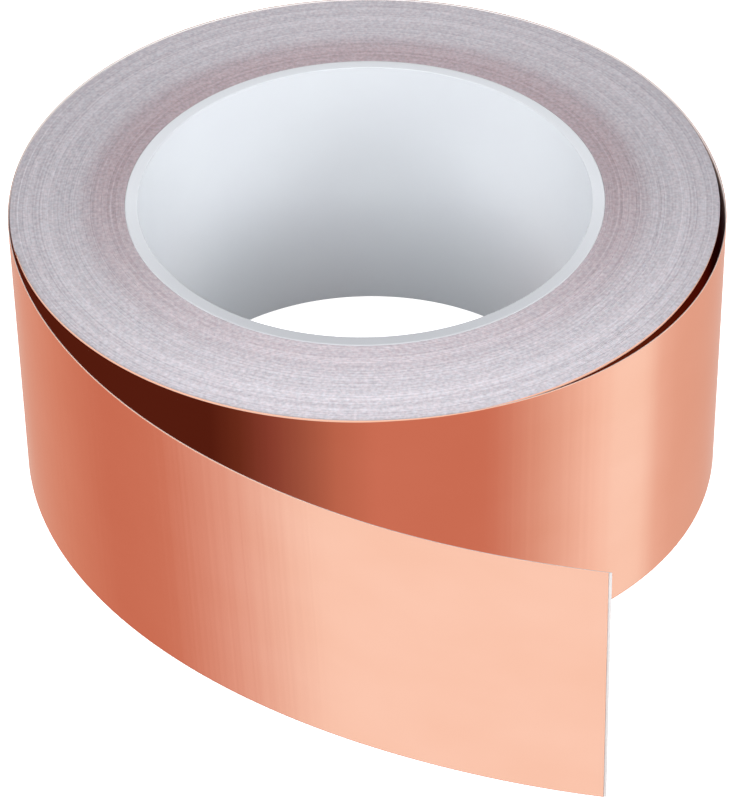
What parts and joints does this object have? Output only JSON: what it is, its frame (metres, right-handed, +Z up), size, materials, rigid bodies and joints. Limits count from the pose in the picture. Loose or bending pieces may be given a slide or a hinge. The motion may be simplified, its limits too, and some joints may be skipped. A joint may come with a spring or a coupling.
{
  "type": "copper foil tape roll",
  "caption": "Wide self-adhesive copper foil tape with paper release liner, wound on a white core, with a loose last turn and a curling free end that flexes and peels.",
  "frame": {"origin": "on the floor, under the middle of the object's bounding box in plan; the roll's own axis is 17.15 mm behind it and 0.27 mm to the left", "axes": "+Z up along the roll's axis, +Y from the free end towards the back of the roll, +X to the right seen from the free end"},
  "size_m": [0.12, 0.1538, 0.051],
  "materials": {
    "core_white": "satin",
    "wound_edge": "matte",
    "copper_foil": "gloss",
    "clear_adhesive": "gloss",
    "release_liner": "satin"
  },
  "bodies": {
    "roll": {"core_tube": "core_white", "core_bond": "clear_adhesive", "wound_turns": "wound_edge", "last_turn_liner": "release_liner", "last_turn_adhesive": "clear_adhesive", "last_turn_foil": "copper_foil"},
    "tail_1": {"tail_1_liner": "release_liner", "tail_1_adhesive": "clear_adhesive", "tail_1_foil": "copper_foil"},
    "tail_2": {"tail_2_liner": "release_liner", "tail_2_adhesive": "clear_adhesive", "tail_2_foil": "copper_foil"},
    "tail_3": {"tail_3_liner": "release_liner", "tail_3_adhesive": "clear_adhesive", "tail_3_foil": "copper_foil"},
    "tail_4": {"tail_4_liner": "release_liner", "tail_4_adhesive": "clear_adhesive", "tail_4_foil": "copper_foil"},
    "tail_5": {"tail_5_liner": "release_liner", "tail_5_adhesive": "clear_adhesive", "tail_5_foil": "copper_foil"},
    "liner_tab_1": {"liner_tab_1": "release_liner"},
    "liner_tab_2": {"liner_tab_2": "release_liner"},
    "liner_tab_3": {"liner_tab_3": "release_liner"}
  },
  "joints": [
    {"name": "tail_uncurl_1", "type": "hinge", "parent": "roll", "child": "tail_1", "pos_m": [-0.05404, -0.01168, 0], "axis": [0, 0, -1], "range_deg": [-5, 20]},
    {"name": "tail_uncurl_2", "type": "hinge", "parent": "tail_1", "child": "tail_2", "pos_m": [-0.04245, -0.0315, 0], "axis": [0, 0, -1], "range_deg": [-5, 20]},
    {"name": "tail_uncurl_3", "type": "hinge", "parent": "tail_2", "child": "tail_3", "pos_m": [-0.02653, -0.04807, 0], "axis": [0, 0, -1], "range_deg": [-5, 20]},
    {"name": "tail_uncurl_4", "type": "hinge", "parent": "tail_3", "child": "tail_4", "pos_m": [-0.0076, -0.0611, 0], "axis": [0, 0, -1], "range_deg": [-5, 20]},
    {"name": "tail_uncurl_5", "type": "hinge", "parent": "tail_4", "child": "tail_5", "pos_m": [0.01333, -0.07061, 0], "axis": [0, 0, -1], "range_deg": [-5, 20]},
    {"name": "liner_peel_1", "type": "hinge", "parent": "tail_5", "child": "liner_tab_1", "pos_m": [0.01712, -0.07187, 0], "axis": [0, 0, 1], "range_deg": [0, 30]},
    {"name": "liner_peel_2", "type": "hinge", "parent": "liner_tab_1", "child": "liner_tab_2", "pos_m": [0.02334, -0.07378, 0], "axis": [0, 0, 1], "range_deg": [0, 30]},
    {"name": "liner_peel_3", "type": "hinge", "parent": "liner_tab_2", "child": "liner_tab_3", "pos_m": [0.02963, -0.07543, 0], "axis": [0, 0, 1], "range_deg": [0, 30]}
  ],
  "couplings": [
    {"joint": "tail_uncurl_2", "follows": "tail_uncurl_1", "ratio": 1},
    {"joint": "tail_uncurl_3", "follows": "tail_uncurl_1", "ratio": 1},
    {"joint": "tail_uncurl_4", "follows": "tail_uncurl_1", "ratio": 1},
    {"joint": "tail_uncurl_5", "follows": "tail_uncurl_1", "ratio": 1},
    {"joint": "liner_peel_2", "follows": "liner_peel_1", "ratio": 1},
    {"joint": "liner_peel_3", "follows": "liner_peel_1", "ratio": 1}
  ]
}
